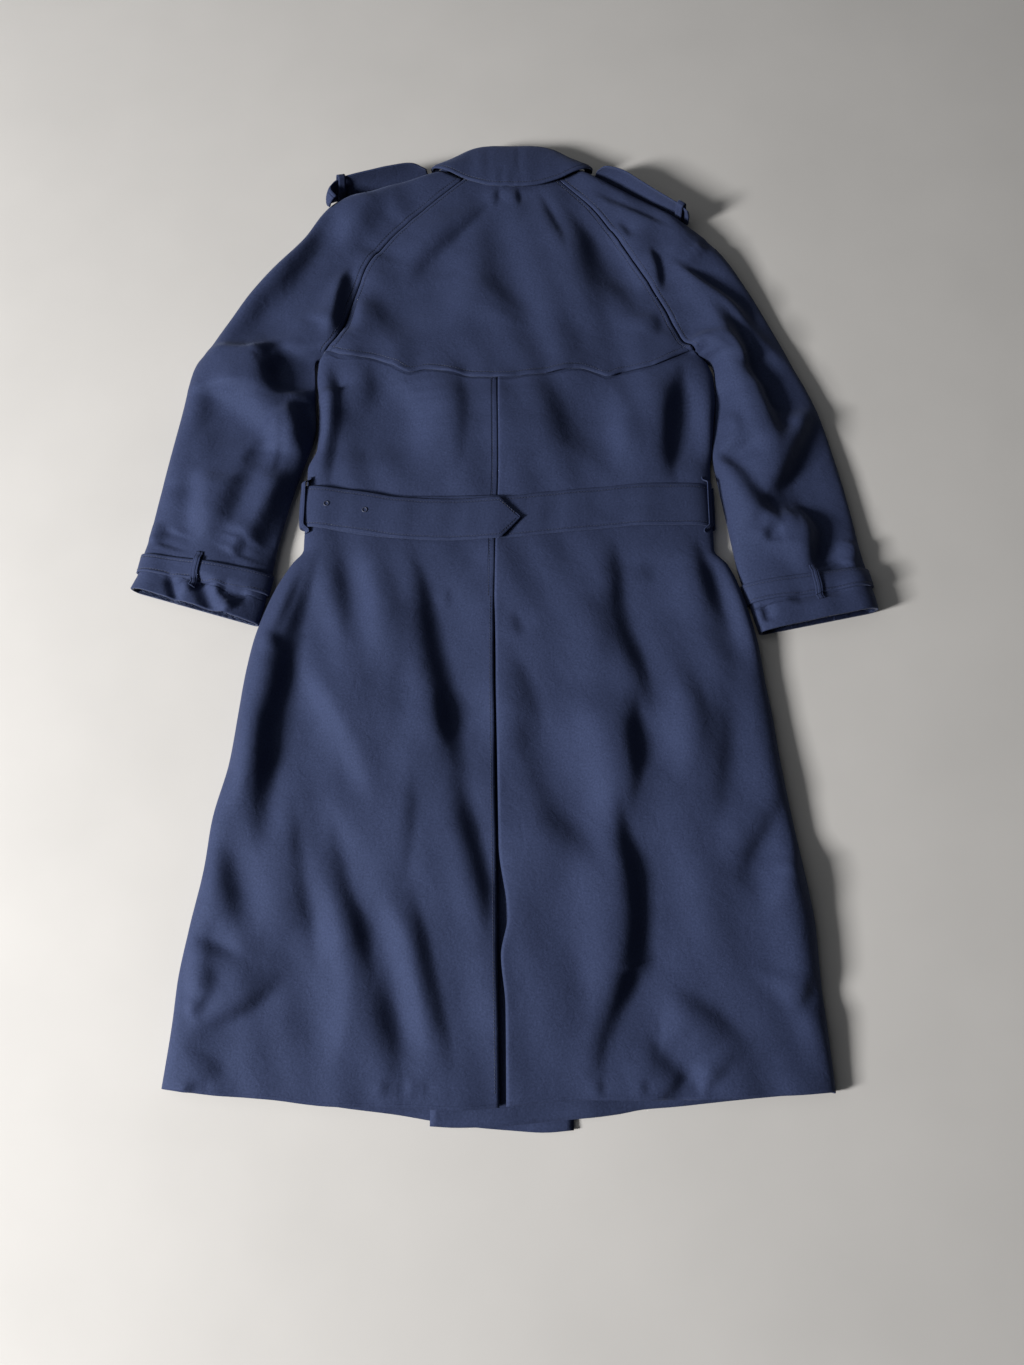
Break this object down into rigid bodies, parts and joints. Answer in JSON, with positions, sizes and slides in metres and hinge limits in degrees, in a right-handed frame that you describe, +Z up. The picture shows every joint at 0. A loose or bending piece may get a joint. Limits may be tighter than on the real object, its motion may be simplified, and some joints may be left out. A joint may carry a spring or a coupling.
{
  "type": "trench coat",
  "caption": "Double-breasted belted trench coat with raglan sleeves, storm shield, epaulettes and cuff straps, laid flat on its front.",
  "frame": {"origin": "centre of the laid-out coat's bounding box, on the floor it lies on", "axes": "+Z up from the floor, +Y towards the collar, +X towards the wearer's right sleeve, which is on the right seen from above"},
  "size_m": [0.898, 1.2301, 0.0446],
  "materials": {
    "gabardine": "navy cotton gabardine twill with a soft sheen",
    "lining": "dark navy satin lining",
    "horn": "dark polished horn-effect resin"
  },
  "bodies": {
    "root": {"back_left": "gabardine", "back_right": "gabardine", "vent_underlay": "gabardine", "storm_shield": "gabardine", "front_left": "gabardine", "front_right": "gabardine", "side_left": "gabardine", "side_right": "gabardine", "sleeve_left_back": "gabardine", "sleeve_left_front": "gabardine", "sleeve_right_back": "gabardine", "sleeve_right_front": "gabardine", "collar": "gabardine", "collar_stand": "gabardine", "lapel_left": "gabardine", "lapel_right": "gabardine", "epaulette_left": "gabardine", "epaulette_right": "gabardine", "epaulette_loop_left": "gabardine", "epaulette_loop_right": "gabardine", "belt_back": "gabardine", "belt_tail": "gabardine", "belt_front": "gabardine", "belt_buckle_end": "gabardine", "belt_loop_left": "gabardine", "belt_loop_right": "gabardine", "cuff_strap_left": "gabardine", "cuff_strap_right": "gabardine", "cuff_loop_left": "gabardine", "cuff_loop_right": "gabardine", "cuff_lining_left": "lining", "cuff_lining_right": "lining", "belt_buckle": "horn", "epaulette_button_left": "horn", "epaulette_button_right": "horn", "button_left_1": "horn", "button_left_2": "horn", "button_left_3": "horn", "button_left_4": "horn", "button_right_1": "horn", "button_right_2": "horn", "button_right_3": "horn", "button_right_4": "horn"}
  },
  "joints": []
}
